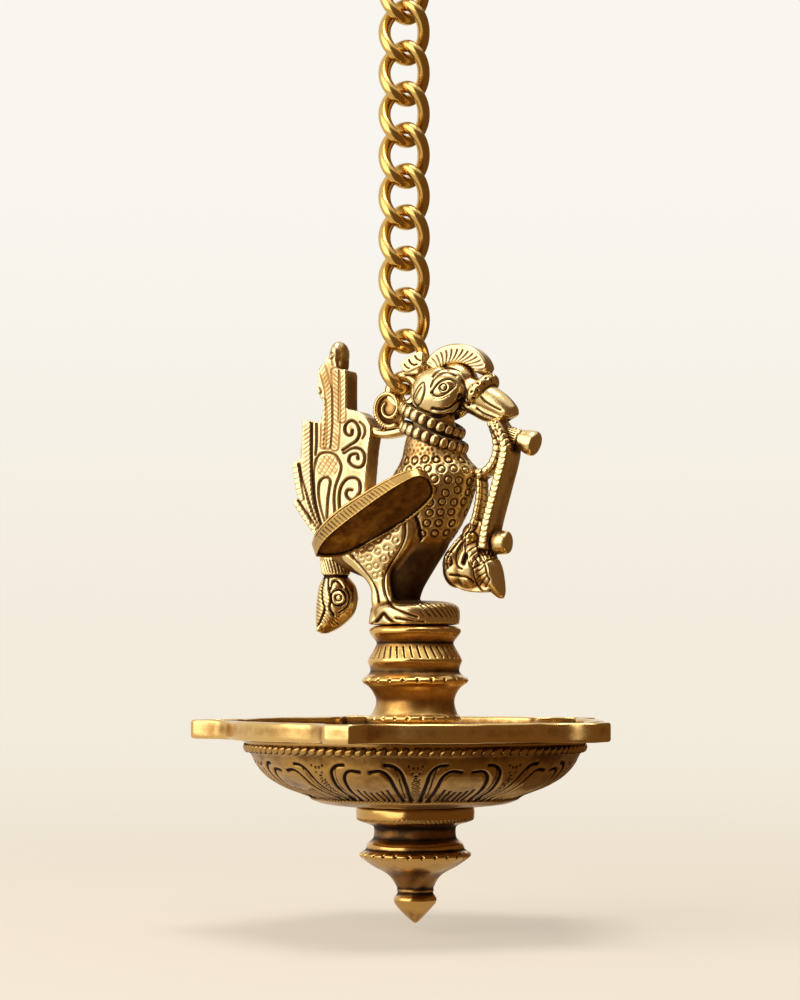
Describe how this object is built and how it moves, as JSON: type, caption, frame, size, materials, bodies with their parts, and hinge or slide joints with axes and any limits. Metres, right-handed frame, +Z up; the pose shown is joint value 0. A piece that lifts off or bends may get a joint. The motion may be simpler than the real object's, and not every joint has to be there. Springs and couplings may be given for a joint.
{
  "type": "hanging oil lamp",
  "caption": "Hanging brass oil lamp: a cast bird on a turned stem above a lobed oil dish with a lotus bowl and finial, hung by a curb chain from a hook.",
  "frame": {"origin": "centre of the hook's seat", "axes": "+Z up along the chain, +X the way the bird looks, +Y along the hook's seat"},
  "size_m": [0.1436, 0.1413, 0.3631],
  "materials": {
    "cast_brass": "antique, dark in the recesses",
    "chain_brass": "satin",
    "hook_brass": "satin",
    "stud_brass": "turned",
    "washer_leather": "matt"
  },
  "bodies": {
    "hook": {"ceiling_hook": "hook_brass"},
    "link_10": {"chain_link_10": "chain_brass"},
    "link_09": {"chain_link_09": "chain_brass"},
    "link_08": {"chain_link_08": "chain_brass"},
    "link_07": {"chain_link_07": "chain_brass"},
    "link_06": {"chain_link_06": "chain_brass"},
    "link_05": {"chain_link_05": "chain_brass"},
    "link_04": {"chain_link_04": "chain_brass"},
    "link_03": {"chain_link_03": "chain_brass"},
    "link_02": {"chain_link_02": "chain_brass"},
    "link_01": {"chain_link_01": "chain_brass"},
    "lamp": {"hanging_eye": "cast_brass", "bird_body": "cast_brass", "crest": "cast_brass", "nape_scroll": "cast_brass", "wing_right": "cast_brass", "wing_left": "cast_brass", "tail_fan": "cast_brass", "tail_bud": "cast_brass", "beak_garland": "cast_brass", "stem": "cast_brass", "seal_washer": "washer_leather", "oil_dish": "cast_brass", "finial": "cast_brass", "tie_stud": "stud_brass"}
  },
  "joints": [
    {"name": "hook_link_10", "type": "hinge", "parent": "hook", "child": "link_10", "pos_m": [0, 0, -0.0325], "axis": [0.4226, 0.9063, 0], "range_deg": [-35, 35]},
    {"name": "link_10_link_09", "type": "hinge", "parent": "link_10", "child": "link_09", "pos_m": [0, 0, -0.0416], "axis": [0.9063, -0.4226, 0], "range_deg": [-35, 35]},
    {"name": "link_09_link_08", "type": "hinge", "parent": "link_09", "child": "link_08", "pos_m": [0, 0, -0.0601], "axis": [-0.2588, -0.9659, 0], "range_deg": [-35, 35]},
    {"name": "link_08_link_07", "type": "hinge", "parent": "link_08", "child": "link_07", "pos_m": [0, 0, -0.0696], "axis": [-0.9063, 0.4226, 0], "range_deg": [-35, 35]},
    {"name": "link_07_link_06", "type": "hinge", "parent": "link_07", "child": "link_06", "pos_m": [0, 0, -0.0881], "axis": [0.2588, 0.9659, 0], "range_deg": [-35, 35]},
    {"name": "link_06_link_05", "type": "hinge", "parent": "link_06", "child": "link_05", "pos_m": [0, 0, -0.0976], "axis": [0.9063, -0.4226, 0], "range_deg": [-35, 35]},
    {"name": "link_05_link_04", "type": "hinge", "parent": "link_05", "child": "link_04", "pos_m": [0, 0, -0.1161], "axis": [-0.2588, -0.9659, 0], "range_deg": [-35, 35]},
    {"name": "link_04_link_03", "type": "hinge", "parent": "link_04", "child": "link_03", "pos_m": [0, 0, -0.1256], "axis": [-0.9063, 0.4226, 0], "range_deg": [-35, 35]},
    {"name": "link_03_link_02", "type": "hinge", "parent": "link_03", "child": "link_02", "pos_m": [0, 0, -0.1441], "axis": [0.2588, 0.9659, 0], "range_deg": [-35, 35]},
    {"name": "link_02_link_01", "type": "hinge", "parent": "link_02", "child": "link_01", "pos_m": [0, 0, -0.1536], "axis": [0.9063, -0.4226, 0], "range_deg": [-35, 35]},
    {"name": "link_01_lamp", "type": "hinge", "parent": "link_01", "child": "lamp", "pos_m": [0, 0, -0.1727], "axis": [0, -1, 0], "range_deg": [-25, 5]}
  ]
}
